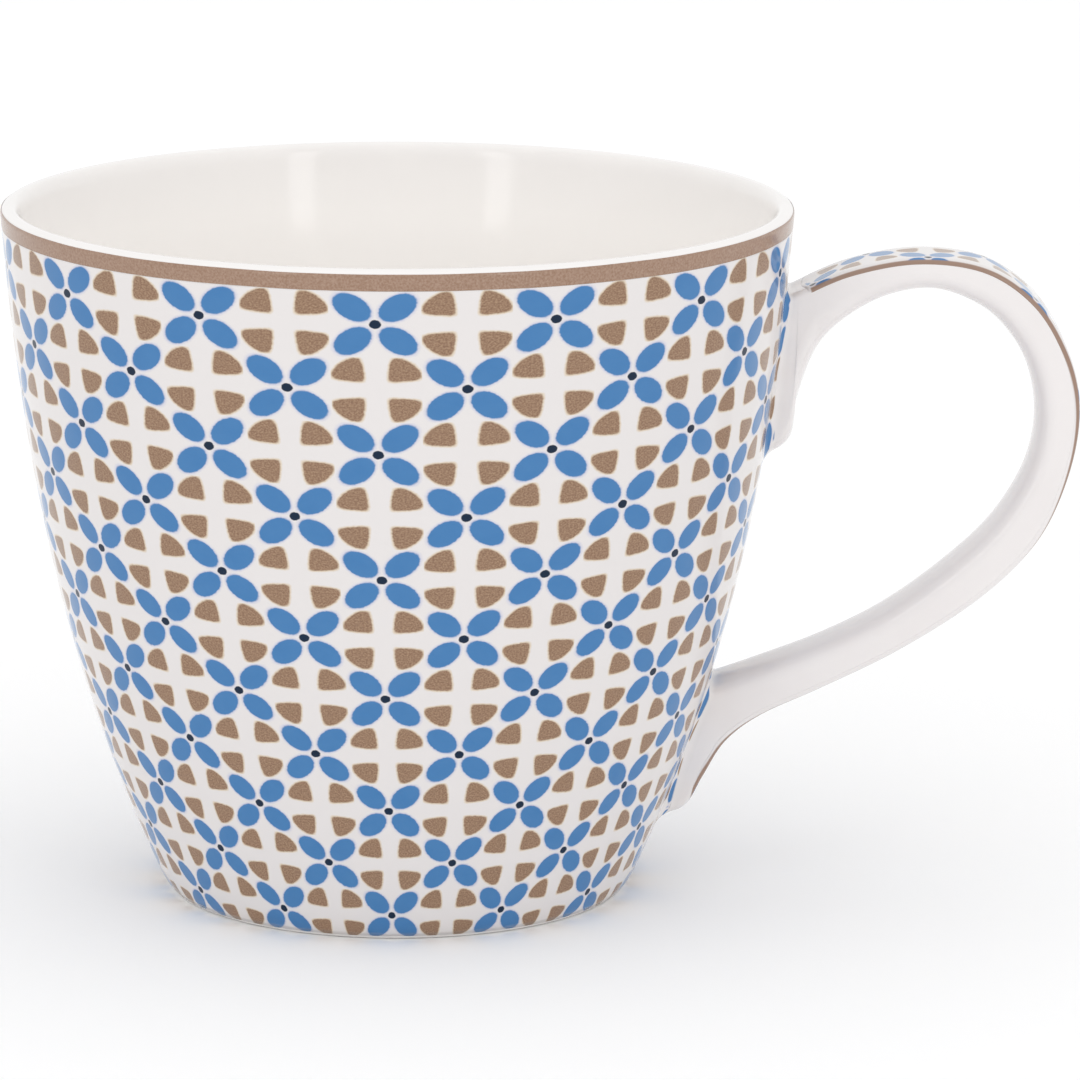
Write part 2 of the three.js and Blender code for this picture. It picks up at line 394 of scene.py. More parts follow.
@dataclass(frozen=True)
class Finish:
    """What every ceramic finish here shares: its colour under a glossy skin with a slow ripple."""

    title: str = "finish"
    roughness: float = 0.09
    ior: float = 1.5
    ripple_mm: float = 14.0
    ripple_depth_mm: float = 0.05
    ripple_strength: float = 0.12
    relief_depth_mm: float = 0.02
    relief_strength: float = 0.3

    def paint(self, tree: Tree) -> Coat:
        """The colour, and the relief and roughness where they change over the surface."""
        raise NotImplementedError

    def make(self) -> Material:
        """Builds the material.

        Returns:
            The material: this finish's paint under the glossy, rippled skin.
        """
        material = bpy.data.materials.new(self.title)
        material.use_nodes = True
        tree = material.node_tree
        tree.nodes.clear()
        coat = self.paint(tree)
        ripple = noise(tree, place(tree, Coordinates.OBJECT), self.ripple_mm * MM, 1.0)
        bump = add_node(tree, "Bump", {"Strength": self.ripple_strength,
                                       "Distance": self.ripple_depth_mm * MM, "Height": ripple})
        if "relief" in coat:
            bump = add_node(tree, "Bump", {
                "Strength": self.relief_strength, "Distance": self.relief_depth_mm * MM,
                "Height": coat["relief"], "Normal": bump.outputs[0]})
        shader = add_node(tree, "BsdfPrincipled", {
            "IOR": self.ior, "Roughness": coat.get("gloss", self.roughness),
            "Base Color": coat["colour"], "Normal": bump.outputs[0]})
        add_node(tree, "OutputMaterial", {"Surface": shader.outputs[0]})
        return material


@dataclass(frozen=True)
class ClearGlaze(Finish):
    """Glossy transparent glaze over the handle's white body, dipped, drained thin and fired.

    The eye sees a faintly pinkish white, cloudy by a percent or two where the glaze lies
    thicker, with mirror-like highlights that a slow ripple bends.
    """

    title: str = "clear_glaze_on_handle"
    thin: str = "#E6E1E0"
    thick: str = "#EDE9E8"
    cloud_mm: float = 9.0
    cloud_span: Pair = (0.3, 0.7)
    gloss_span: Pair = (0.07, 0.12)

    def body(self, tree: Tree, cloud: Socket) -> Socket:
        """The body colour, between its thin and thick tones by a cloudy noise."""
        return blend(tree, self.thin, self.thick, cloud)

    def paint(self, tree: Tree) -> Coat:
        """The body colour, and a roughness that the clouds change a little.

        Args:
            tree: The material's tree.

        Returns:
            The colour and the roughness.
        """
        cloud = noise(tree, place(tree, Coordinates.OBJECT), self.cloud_mm * MM)
        return {"colour": self.body(tree, cloud),
                "gloss": ramp(tree, cloud, self.cloud_span, self.gloss_span)}


@dataclass(frozen=True)
class BowlGlazePaintedLighter(ClearGlaze):
    """The same glaze on the cup, dipped, its tones painted lighter than the handle's.

    Inside the bowl a lighter, warmer white is painted in: painted light where the inside is
    brighter. The map runs from 0 at the lip to 1 a little way down.
    """

    title: str = "clear_glaze_painted_lighter_in_bowl"
    thin: str = "#EDEAE8"
    thick: str = "#F3F0EE"
    # Painted light: the whiter tone laid over the inside of the bowl.
    painted_light: str = "#FBF8F5"

    def body(self, tree: Tree, cloud: Socket) -> Socket:
        """The body colour, painted whiter inside the bowl as painted light."""
        pool = split(tree, place(tree, Coordinates.POOL))[0]
        return blend(tree, super().body(tree, cloud), self.painted_light, pool)


@dataclass(frozen=True)
class BareBody(Finish):
    """Unglazed fired stoneware on the foot ring, wiped clean before firing and ground flat.

    The eye sees a matt grey-cream ring with fine grit and a few darker grains.
    """

    title: str = "unglazed_stoneware_foot"
    roughness: float = 0.85
    body: str = "#D9CFC3"
    grain: str = "#B5A899"
    grit_mm: float = 0.35
    grit_span: Pair = (0.5, 0.72)

    def paint(self, tree: Tree) -> Coat:
        """Darker grains over the body colour, with the same grit as a relief.

        Args:
            tree: The material's tree.

        Returns:
            The colour and the relief.
        """
        grit = noise(tree, place(tree, Coordinates.OBJECT), self.grit_mm * MM, 4.0)
        return {"colour": blend(tree, self.body, self.grain, ramp(tree, grit, self.grit_span)),
                "relief": grit}


@dataclass(frozen=True)
class PrintedCells(Finish):
    """Screen-printed ceramic transfer under the glaze: a chequer of flowers and split discs.

    The map gives columns and rows, so a cell is 1 by 1. A cell whose numbers add up to an odd
    number holds four leaf-shaped petals round a dark dot, and an even one holds a disc split in
    four by a white cross. Ink bled in the firing, so the eye sees soft edges, a lavender haze
    round the blue, and a warm grain in the brown.
    """

    title: str = "printed_transfer_cells"
    ior: float = 1.33
    white: str = "#E2DEDD"
    haze: str = "#CCCCDA"
    blue: str = "#4B80B4"
    deep_blue: str = "#3F77AE"
    navy: str = "#02203A"
    brown: str = "#876955"
    pale_brown: str = "#A6896F"
    halo: str = "#D9C9B3"
    petal_at: Pair = (0.247, 0.254)
    petal_half: Pair = (0.25, 0.169)
    petal_lean: Pair = (0.672, 0.741)
    petal_edge: Pair = (1.06, 0.93)
    haze_edge: Pair = (1.24, 0.98)
    dot_edge: Pair = (0.074, 0.058)
    quarter_from: Pair = (0.136, 0.132)
    quarter_radius: float = 0.368
    quarter_bulge: float = 0.3
    quarter_rounding: Pair = (0.1, 0.15)
    quarter_edge: Pair = (-0.018, 0.008)
    halo_edge: Pair = (-0.04, -0.008)
    density_size: float = 0.35
    grain_size: float = 0.026
    grain_span: Pair = (0.37, 0.67)
    ragged: float = 0.02
    ragged_size: float = 1 / 22

    def ink(self, tree: Tree, keep: Socket | None = None) -> Socket:
        """The printed colour at a place in the chequer.

        A petal is an ellipse: the point, folded into one quarter of its cell, is measured from
        the petal's middle along its length and across it, each divided by its half size. A
        quarter disc is swung from its own inner corner, and its two straight sides bulge.

        Args:
            tree: The material's tree.
            keep: 1 where the transfer is, 0 where it was trimmed away.

        Returns:
            The colour's socket.
        """
        cells = place(tree, Coordinates.CELLS)
        rough = add_node(tree, "TexNoise", {"Scale": 1 / self.ragged_size, "Detail": 1.0,
                                            "Vector": cells}).outputs["Color"]
        shift = vector(tree, "MULTIPLY_ADD", rough, (self.ragged,) * 3, (-self.ragged / 2,) * 3)
        middle = vector(tree, "FLOOR", vector(tree, "ADD", cells, (0.5, 0.5, 0)))
        away = vector(tree, "SUBTRACT", vector(tree, "ADD", cells, shift), middle)
        flat = vector(tree, "MULTIPLY", away, (1, 1, 0))
        folded = vector(tree, "ABSOLUTE", flat)
        total = vector(tree, "DOT_PRODUCT", middle, (1, 1, 0))
        odd = maths(tree, "FLOORED_MODULO", total, 2.0)
        even = maths(tree, "SUBTRACT", 1.0, odd)
        if keep is not None:
            odd, even = (maths(tree, "MULTIPLY", share, keep) for share in (odd, even))

        (length, width), (lx, ly) = self.petal_half, self.petal_lean
        from_petal = vector(tree, "SUBTRACT", folded, (*self.petal_at, 0))
        along = vector(tree, "DOT_PRODUCT", from_petal, (lx / length, ly / length, 0))
        across = vector(tree, "DOT_PRODUCT", from_petal, (-ly / width, lx / width, 0))
        pair = add_node(tree, "CombineXYZ", {0: along, 1: across}).outputs[0]
        petal = vector(tree, "LENGTH", pair)

        legs = vector(tree, "SUBTRACT", folded, (*self.quarter_from, 0))
        leg, square = split(tree, legs), split(tree, vector(tree, "MULTIPLY", legs, legs))
        sides = [maths(tree, "MULTIPLY_ADD", square[1 - k], -self.quarter_bulge, leg[k])
                 for k in (0, 1)]
        rim = maths(tree, "SUBTRACT", self.quarter_radius, vector(tree, "LENGTH", legs))
        corner, arch = self.quarter_rounding
        quarter = maths(tree, "SMOOTH_MIN", maths(tree, "SMOOTH_MIN", *sides, corner), rim, arch)

        blues = blend(tree, self.blue, self.deep_blue, noise(tree, cells, self.density_size, 3.0))
        grain = ramp(tree, noise(tree, cells, self.grain_size, 3.0), self.grain_span)
        browns = blend(tree, self.brown, self.pale_brown, grain)
        colour: Socket | str = self.white
        for value, span, share, tint in (
                (petal, self.haze_edge, odd, self.haze), (petal, self.petal_edge, odd, blues),
                (quarter, self.halo_edge, even, self.halo),
                (quarter, self.quarter_edge, even, browns),
                (vector(tree, "LENGTH", flat), self.dot_edge, odd, self.navy)):
            shown = maths(tree, "MULTIPLY", edge(tree, value, span), share)
            colour = blend(tree, colour, tint, shown)
        return colour

    def paint(self, tree: Tree) -> Coat:
        """The whole chequer, as on the wall."""
        return {"colour": self.ink(tree)}


@dataclass(frozen=True)
class PrintedBead(PrintedCells):
    """The same transfer where it laps onto the slip at a root, trimmed off the handle's side.

    The eye sees slivers of petal and quarter that end in the corner between cup and handle.
    """

    title: str = "printed_transfer_on_slip"
    ior: float = 1.45
    white: str = "#E8E4E3"
    trim: Pair = (0.63, 0.73)
    lap: float = 0.6

    def paint(self, tree: Tree) -> Coat:
        """The chequer, kept where the bead is nearer to the wall.

        Args:
            tree: The material's tree.

        Returns:
            The colour.
        """
        across, ends = split(tree, place(tree, Coordinates.ACROSS))[:2]
        lapped = maths(tree, "MULTIPLY_ADD", ends, self.lap, across)
        return {"colour": self.ink(tree, edge(tree, lapped, self.trim))}


@dataclass(frozen=True)
class PrintedStrip(PrintedCells):
    """The handle's transfer: half rows of the chequer between two brown edge lines.

    The map gives the share of the way to the strip's edge, and the millimetres to its nearer
    end. The eye sees the wall's print again, with a thin brown line along each side.
    """

    title: str = "printed_transfer_strip"
    ior: float = 1.5
    line: str = "#987D6D"
    beyond: str = "#E9E5E4"
    line_edge: Pair = (0.84, 0.89)
    side_edge: Pair = (0.975, 1.025)
    end_edge: Pair = (0.65, 0.35)

    def paint(self, tree: Tree) -> Coat:
        """The chequer, then the line, then the plain margin at the sides and the ends.

        Args:
            tree: The material's tree.

        Returns:
            The colour.
        """
        colour = self.ink(tree)
        across, end = split(tree, place(tree, Coordinates.ACROSS))[:2]
        for value, span, tint in ((across, self.line_edge, self.line),
                                  (across, self.side_edge, self.beyond),
                                  (end, self.end_edge, self.beyond)):
            colour = blend(tree, colour, tint, edge(tree, value, span))
        return {"colour": colour}


@dataclass(frozen=True)
class BandPaint(Finish):
    """Brown ceramic colour laid on with a brush while the cup turned on a wheel.

    The eye sees a dense warm brown with a fine pale grain.
    """

    title: str = "painted_band_brown"
    roughness: float = 0.16
    dense: str = "#93745F"
    thin: str = "#A98D7A"
    grain_mm: float = 0.28
    grain_span: Pair = (0.36, 0.72)

    def paint(self, tree: Tree) -> Coat:
        """Pale grains over the dense brown."""
        grain = noise(tree, place(tree, Coordinates.OBJECT), self.grain_mm * MM, 3.0)
        return {"colour": blend(tree, self.dense, self.thin, ramp(tree, grain, self.grain_span))}


# ---- the cup


@dataclass
class CupForm:
    """The turned form that every piece is laid on: wall, heel, foot ring, lip and inside."""

    crest: float
    rim_radius: float
    lip_thickness: float = 2.6
    lip_rise: float = 0.8
    lip_roll: float = 3.0
    heel_radius: float = 30.8
    heel_height: float = 3.2
    rim_slope: float = 0.075
    heel_slope: float = 0.45
    inner_rim_slope: float = 0.15
    inner_heel_slope: float = 0.36
    wall: float = 3.0
    floor: float = 4.0
    floor_corner: float = 9.0
    foot_setback: float = 2.5
    foot_width: float = 3.0
    foot_depth: float = 2.0
    foot_edge: float = 0.8
    foot_bevel: float = 0.4
    turns: int = 256

    def __post_init__(self) -> None:
        """Works out the rim's height and a fine table of the outer wall's path."""
        self.rim_height = self.crest - self.lip_rise
        third = (self.rim_height - self.heel_height) / 3
        self.foot_radius = self.heel_radius - self.foot_setback
        self.wall_curve = [(self.heel_radius, self.heel_height),
                           (self.heel_radius + self.heel_slope * third, self.heel_height + third),
                           (self.rim_radius - self.rim_slope * third, self.rim_height - third),
                           (self.rim_radius, self.rim_height)]
        self.heel_curve = [(self.foot_radius, 0.0),
                           (self.heel_radius - self.heel_slope * self.heel_height, 0.0),
                           (self.heel_radius, self.heel_height)]
        self.path = np.concatenate([bezier(self.heel_curve, np.linspace(0, 1, 120))[:-1],
                                    bezier(self.wall_curve, np.linspace(0, 1, 1200))])
        self.run = run_along(self.path)
        slope = np.gradient(self.path, axis=0)
        self.normals = unit(np.stack([slope[:, 1], -slope[:, 0]], 1))

    @classmethod
    def from_frame(cls) -> "CupForm":
        """Takes the height and the rim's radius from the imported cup."""
        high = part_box("cup_body")[1]
        return cls(crest=high.z / MM, rim_radius=high.x / MM)

    def radius_at(self, height: Array | float) -> Array:
        """The outer wall's radius at each height."""
        return np.interp(height, self.path[:, 1], self.path[:, 0])

    def run_at(self, height: Array | float) -> Array:
        """The run up the outer wall at each height."""
        return np.interp(height, self.path[:, 1], self.run)

    def normal_at(self, height: Array) -> tuple[Array, Array]:
        """How much of the outer wall's normal at each height points out, and how much up."""
        out, up = (np.interp(height, self.path[:, 1], part) for part in self.normals.T)
        return out, up

    def on_wall(self, azimuth: Array, run: Array, lift: Array | float) -> Array:
        """Points a set distance off the outer wall, along its normal.

        Args:
            azimuth: Turn from -Y towards +X.
            run: Run up the wall.
            lift: Distance off it.

        Returns:
            [x, y, z] for each.
        """
        radius, height, out, up = (np.interp(run, self.run, column) for column in
                                   (*self.path.T, *self.normals.T))
        return around(azimuth, radius + lift * out, height + lift * up)

    def off_wall(self, points: Array) -> Array:
        """How far outside the outer wall each point is, square to the wall.

        Args:
            points: [x, y, z] for each point.

        Returns:
            The distance out at the point's height, times the outward part of the wall's normal.
        """
        height = points[..., 2]
        away = np.hypot(points[..., 0], points[..., 1]) - self.radius_at(height)
        return away * self.normal_at(height)[0]

    def profile(self) -> Array:
        """The closed turned profile, from the axis underneath round to the axis inside.

        Returns:
            One [radius, height] row for each point.
        """
        foot_in, edge, bevel = self.foot_radius - self.foot_width, self.foot_edge, self.foot_bevel
        floor_top, corner = self.foot_depth + self.floor, self.floor_corner
        low_turn = math.atan(self.inner_heel_slope)
        corner_top = floor_top + corner * (1 - math.sin(low_turn))
        corner_out = float(self.radius_at(corner_top)) - self.wall
        corner_at = (corner_out - corner * math.cos(low_turn), floor_top + corner)
        half = self.lip_thickness / 2
        roll_turn = 180 - math.degrees(math.atan(self.inner_rim_slope * self.lip_roll / half))
        roll = arc((self.rim_radius - half, self.crest - self.lip_roll), (half, self.lip_roll),
                   (90, roll_turn), 14)
        rim_in, rim_low = roll[-1]
        third = (rim_low - corner_top) / 3
        inner = [(rim_in, rim_low),
                 (rim_in - self.inner_rim_slope * third, rim_low - third),
                 (corner_out + self.inner_heel_slope * third, corner_top + third),
                 (corner_out, corner_top)]
        return np.concatenate([
            np.linspace((0, self.foot_depth), (foot_in - edge, self.foot_depth), 10),
            arc((foot_in - edge, self.foot_depth - edge), (edge, edge), (90, 0), 7)[1:],
            arc((foot_in + bevel, bevel), (bevel, bevel), (180, 270), 6),
            np.linspace((foot_in + bevel, 0), (self.foot_radius, 0), 7)[1:],
            bezier(self.heel_curve, np.linspace(0, 1, 14))[1:],
            bezier(self.wall_curve, np.linspace(0, 1, 56))[1:],
            arc((self.rim_radius - half, self.rim_height), (half, self.lip_rise), (0, 90), 12)[1:],
            roll[1:],
            bezier(inner, np.linspace(0, 1, 48))[1:],
            arc(corner_at, (corner, corner), (-math.degrees(low_turn), -90), 16)[1:],
            np.linspace((corner_at[0], floor_top), (0, floor_top), 12)[1:],
        ])


@dataclass
class Cup:
    """The glazed cup with its bare foot ring."""

    form: CupForm
    glaze: Material
    bare: Material
    bare_height: float = 0.03
    # How far below the crest the bowl's painted light reaches its full share.
    painted_light_depth: float = 9.0

    def build(self) -> Object:
        """Turns the profile, closes it on the axis at both ends, and bares the standing face.

        Returns:
            The cup.
        """
        profile = self.form.profile()
        turn = np.linspace(0, 360, self.form.turns, endpoint=False)
        rings = around(turn, profile[1:-1, :1], profile[1:-1, 1:])
        rows, columns = rings.shape[:2]
        tips = np.stack([np.zeros(2), np.zeros(2), profile[[0, -1], 1]], 1)
        points = np.concatenate([rings.reshape(-1, 3), tips])
        quads, fans = grid_quads(rows, columns, wrap_columns=True), end_fans(rows, columns)
        # Painted light inside the bowl: 0 at the crest, rising to 1 one depth down, 0 outside.
        inside = np.arange(len(profile)) > profile[:, 1].argmax()
        below_lip = (self.form.crest - profile[:, 1]) / self.painted_light_depth
        pool = np.where(inside, np.clip(below_lip, 0, 1), 0)
        painted_light = np.concatenate([np.repeat(pool[1:-1], columns), pool[[0, -1]]])
        cup = put_mesh("cup", self.glaze, points, quads, fans,
                       {"pool": np.stack([painted_light, painted_light * 0], 1)})
        cup.data.materials.append(self.bare)
        low = points[quads][:, :, 2].max(1) < self.bare_height
        index = np.concatenate([low, np.zeros(len(fans), bool)]).astype(np.int32)
        cup.data.polygons.foreach_set("material_index", index)
        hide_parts("cup_body")
        return cup


@dataclass
class CellLayout:
    """Where the wall's chequer falls: 28 columns round the cup, rows counted down from the band."""

    form: CupForm
    columns: int = 28
    first_column: float = -1.04
    row_pitch: float = 8.15
    drift: float = 0.18
    middle_row: float = 6.0
    even_rows: float = 4.0
    shrink: float = 0.022
    top: float = 2.5

    def at(self, azimuth: Array, run: Array) -> Array:
        """Column and row numbers of points on the wall.

        The column is the azimuth over one column's width, less a small lean for each row. The
        row is the run down from the band over the row pitch, plus a half, because the band cuts
        the first row's top edge. Below the even rows, where the sheet was pressed round the
        narrowing wall, rows shrink by a small share.

        Args:
            azimuth: Turn from -Y towards +X.
            run: Run up the wall.

        Returns:
            [column, row] for each point.
        """
        row = 0.5 + (self.form.run_at(self.form.crest - self.top) - run) / self.row_pitch
        row = row + self.shrink * np.maximum(row - self.even_rows, 0)
        column = azimuth - self.first_column - self.drift * (row - self.middle_row)
        return np.stack([column * self.columns / 360, row], -1)

    def at_points(self, points: Array) -> Array:
        """Column and row numbers of any points near the wall, by their azimuth and height."""
        return self.at(azimuth_of(points), self.form.run_at(points[..., 2]))


# ---- the handle

# Outer and inner edge of the strap seen from the side: [distance out from the wall, height],
# as shares of the loop, down from the upper root to the lower one.
OUTER_GUIDE = np.array([
    [-0.07, 0.905], [0.033, 0.938], [0.2, 0.979], [0.414, 1], [0.63, 0.984], [0.8, 0.926],
    [0.918, 0.84], [0.985, 0.745], [0.997, 0.64], [0.96, 0.525], [0.88, 0.442], [0.75, 0.365],
    [0.56, 0.286], [0.36, 0.222], [0.2, 0.174], [0.115, 0.125], [0.085, 0.06], [0.066, 0.008],
    [0, -0.008], [-0.07, -0.02]])
INNER_GUIDE = np.array([
    [-0.07, 0.636], [0.02, 0.645], [0.078, 0.675], [0.078, 0.74], [0.115, 0.828], [0.19, 0.882],
    [0.315, 0.925], [0.458, 0.94], [0.59, 0.92], [0.7, 0.88], [0.8, 0.808], [0.855, 0.715],
    [0.85, 0.62], [0.78, 0.525], [0.66, 0.444], [0.5, 0.365], [0.33, 0.309], [0.16, 0.268],
    [0.031, 0.24], [-0.07, 0.22]])
# Which point of the outer edge faces which point of the inner edge, as fractional numbers.
FACING = np.array([
    [0, 0], [0.5, 0.6], [0.85, 1.15], [1.0, 2.0], [1.15, 3.0], [1.45, 4.2], [2.05, 5.3],
    [3.0, 6.7], [4, 8.1], [5, 9.4], [6, 10.3], [7, 11.05], [8, 11.85], [9, 12.7], [10, 13.45],
    [11, 14.25], [12, 15.2], [13, 16.1], [13.8, 16.8], [14.7, 17.4], [15.6, 17.8], [16.6, 18.1],
    [17.4, 18.35], [18.1, 18.6], [19, 19]])


@dataclass
class HandleForm:
    """The strap: D-shaped sections strung between an outer and an inner edge curve."""

    cup: CupForm
    reach: float = 39.1
    top_drop: float = 6.1
    toe_rise: float = 10.5
    width: float = 10.0
    crown: float = 2.4
    edge: float = 0.8
    flank_taper: float = 0.22
    crown_power: float = 2.5
    most_edge: float = 0.22
    most_crown: float = 0.55
    least_slant: float = 0.08
    slope_step: float = 0.05
    smoothing: int = 41
    stations: int = 1400

    def __post_init__(self) -> None:
        """Strings the sections and measures how far each point is from the wall."""
        self.half_width = min(self.width / 2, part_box("handle")[1].y / MM)
        self.grid = self.sections()
        self.off_wall = self.cup.off_wall(self.grid)

    def guide(self, points: Array, at: Array) -> Array:
        """An edge curve in X and Z, read at fractional point numbers.

        Args:
            points: The edge's guide points.
            at: Fractional point numbers.

        Returns:
            [x, z] for each number.
        """
        top = self.cup.crest - self.top_drop
        height = self.toe_rise + (top - self.toe_rise) * points[:, 1]
        out = self.cup.radius_at(height) + self.reach * points[:, 0]
        return spline(np.stack([out, height], 1), at)

    def slant(self, points: Array, at: Array, toward: Array) -> Array:
        """The smoothed sine of the angle between an edge curve and the sections that meet it.

        Args:
            points: The edge's guide points.
            at: Where each section meets it.
            toward: Each section's direction in X and Z.

        Returns:
            One sine for each section.
        """
        ahead, behind = (self.guide(points, np.clip(at + step, 0, len(points) - 1))
                         for step in (self.slope_step, -self.slope_step))
        tangent = unit(ahead - behind)
        sine = np.abs(toward[:, 0] * tangent[:, 1] - toward[:, 1] * tangent[:, 0])
        padded = np.pad(sine, self.smoothing // 2, mode="edge")
        smooth = np.convolve(padded, np.full(self.smoothing, 1 / self.smoothing), "valid")
        return np.maximum(smooth, self.least_slant)

    def sections(self) -> Array:
        """The strap's surface as a grid of station by point round the section.

        A section runs from the inner edge (0) to the outer edge (its depth). Its outer face is
        flat with rounded corners, its flanks widen a little towards a ridge, and its inner side
        is a half superellipse. Where a section lies along the wall, its corner and crown are
        stretched so that their depth square to the surface stays the same.

        Returns:
            An array of stations by points round by [x, y, z].
        """
        pair = spline(FACING, np.linspace(0, len(FACING) - 1, self.stations))
        pair = np.clip(pair, 0, len(OUTER_GUIDE) - 1)
        outer, inner = self.guide(OUTER_GUIDE, pair[:, 0]), self.guide(INNER_GUIDE, pair[:, 1])
        deep = np.hypot(*(outer - inner).T)[:, None]
        toward = (outer - inner) / deep
        outer_slant = self.slant(OUTER_GUIDE, pair[:, 0], toward)[:, None]
        inner_slant = self.slant(INNER_GUIDE, pair[:, 1], toward)[:, None]
        corner = np.minimum(self.edge / outer_slant, self.most_edge * deep)
        crown = np.minimum(self.crown / inner_slant, self.most_crown * deep)
        shoulder = self.half_width - self.flank_taper
        face = np.linspace(0, 1, 7)[None, :-1]
        bend = np.radians(np.linspace(0, 90, 6))[None, :]
        side = np.linspace(0, 1, 9)[None, 1:]
        round_in = np.radians(np.linspace(0, 90, 13))[None, 1:]
        power = 2 / self.crown_power
        along = np.concatenate([
            deep * np.ones_like(face), deep - corner + corner * np.cos(bend),
            (deep - corner) + (crown - deep + corner) * side,
            crown * (1 - np.sin(round_in) ** power)], 1)
        across = np.ones_like(deep) * np.concatenate([
            (shoulder - self.edge) * face, shoulder - self.edge + self.edge * np.sin(bend),
            shoulder + self.flank_taper * side,
            self.half_width * np.maximum(np.cos(round_in), 0) ** power], 1)
        along = np.concatenate([along, along[:, -2:0:-1]], 1)
        across = np.concatenate([across, -across[:, -2:0:-1]], 1)
        return np.stack([inner[:, :1] + toward[:, :1] * along, across,
                         inner[:, 1:] + toward[:, 1:] * along], -1)

    def crossing(self, level: Array | float, lower: bool) -> Array:
        """The fractional station at which each line along the strap leaves the wall by a level.

        Args:
            level: Distance off the wall, one for all lines or one for each.
            lower: Look from the lower root up, and not from the upper root down.

        Returns:
            One station for each line.
        """
        off = self.off_wall[::-1] if lower else self.off_wall
        column = np.arange(off.shape[1])
        first = np.maximum(np.argmax(off > level, axis=0), 1)
        before, after = off[first - 1, column], off[first, column]
        at = first - 1 + (level - before) / (after - before)
        return self.stations - 1 - at if lower else at

    def read(self, station: Array, surface: Array | None = None) -> Array:
        """Points of the strap, or of another surface, at fractional stations for each line.

        Args:
            station: Fractional stations, the last axis being the lines.
            surface: A grid with the strap's stations, or none for the strap itself.

        Returns:
            [x, y, z] for each, between its two neighbouring stations.
        """
        surface = self.grid if surface is None else surface
        low = np.clip(np.floor(station).astype(int), 0, self.stations - 2)
        column = np.broadcast_to(np.arange(surface.shape[1]), station.shape)
        share = (station - low)[..., None]
        return surface[low, column] * (1 - share) + surface[low + 1, column] * share


@dataclass
class Handle:
    """The glazed strap handle, from where it meets the wall above to where it does below."""

    form: HandleForm
    glaze: Material
    rows: int = 240
    sink: float = 0.1

    def build(self) -> Object:
        """Spaces rows between the two roots and closes each end just inside the wall.

        Returns:
            The handle.
        """
        upper, lower = (self.form.crossing(-self.sink, end) for end in (False, True))
        grid = self.form.read(upper + (lower - upper) * np.linspace(0, 1, self.rows)[:, None])
        columns = grid.shape[1]
        points = np.concatenate([grid.reshape(-1, 3), grid[[0, -1]].mean(1)])
        handle = put_mesh("handle_strap", self.glaze, points,
                          grid_quads(self.rows, columns, wrap_columns=True),
                          end_fans(self.rows, columns))
        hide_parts("handle")
        return handle


class Root(Enum):
    """The handle's two roots."""

    UPPER = "upper"
    LOWER = "lower"


@dataclass
class SlipBead:
    """The wiped bead of slip in the corner between one root and the wall."""

    form: HandleForm
    layout: CellLayout
    finish: Material
    root: Root
    radius: float = 1.3
    toe_extra: float = 0.4
    lift: float = 0.05
    skin: float = 0.02
    sunk: float = 0.005
    gather: float = 2.6
    end_power: int = 6
    steps: int = 12

    def rise(self, ring: Array) -> Array:
        """How high each point of a ring is, from 0 at its lowest to 1 at its highest."""
        return (ring[:, 2] - ring[:, 2].min()) / np.ptp(ring[:, 2])

    def rings(self) -> tuple[Array, Array, Array]:
        """The bead's start on the handle, its inner corner, and its end on the wall.

        The end is the corner moved along the wall, square to the corner's own ring and away
        from its middle, by the bead's radius.

        Returns:
            Three closed rings of [x, y, z].
        """
        lower, cup = self.root is Root.LOWER, self.form.cup
        corner = self.form.read(self.form.crossing(self.lift, lower))
        radius = self.radius + self.toe_extra * np.clip(1 - 2 * self.rise(corner), 0, 1)
        on_handle = self.form.read(self.form.crossing(radius, lower))
        along = np.roll(corner, -1, 0) - np.roll(corner, 1, 0)
        normal = around(azimuth_of(corner), *cup.normal_at(corner[:, 2]))
        away = unit(np.cross(along, normal))
        away *= np.sign((away * (corner - corner.mean(0))).sum())
        moved = corner + away * radius[:, None]
        on_wall = cup.on_wall(azimuth_of(moved), cup.run_at(moved[:, 2]), self.lift / 2)
        return on_handle, corner, on_wall

    def hole(self) -> Array:
        """The opening that the bead needs in a wall transfer.

        Returns:
            A closed ring of [azimuth, run], halfway across the bead's foot.
        """
        _, corner, stop = self.rings()
        between = (corner + stop) / 2
        return np.stack([azimuth_of(between), self.form.cup.run_at(between[:, 2])], 1)

    def build(self) -> Object:
        """Sweeps a quadratic curve, tangent to handle and wall, round the root.

        The print's map goes on from the wall, along the wall's own tangent and gathered a
        little, as a wet sheet is when it's pressed into a corner.

        Returns:
            The bead.
        """
        start, corner, stop = self.rings()
        t = np.linspace(0, 1, self.steps)[:, None, None]
        swept = (1 - t) ** 2 * start + 2 * t * (1 - t) * corner + t ** 2 * stop
        inward = unit(corner - (start + stop) / 2)
        swept = swept - inward * (self.skin * np.sin(np.pi * t) - self.sunk)
        grid = np.concatenate([swept, (corner + inward * self.lift)[None]])
        laid = run_along(swept)[-1][:, None] * self.gather
        left = 1 - np.concatenate([t, t[-1:]])
        flat = stop + unit(corner - stop) * laid * left
        across = np.concatenate([t[:, 0, 0], [0.5]])
        columns = grid.shape[1]
        flank = (corner[:, 1] / corner[:, 1].max()) ** self.end_power
        ends = np.abs(2 * self.rise(corner) - 1) * flank
        maps = {"cells": self.layout.at_points(flat).reshape(-1, 2),
                "across": np.stack([np.repeat(across, columns), np.tile(ends, len(grid))], 1)}
        bead = put_mesh(f"{self.root.value}_slip_bead", self.finish, grid.reshape(-1, 3),
                        grid_quads(len(grid), columns, True, True), maps=maps)
        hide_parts(f"{self.root.value}_slip_joint")
        return bead


# ---- the prints


class Side(Enum):
    """Which half of the wall a transfer covers, with the azimuth of its middle."""

    FRONT = 0.0
    BACK = 180.0


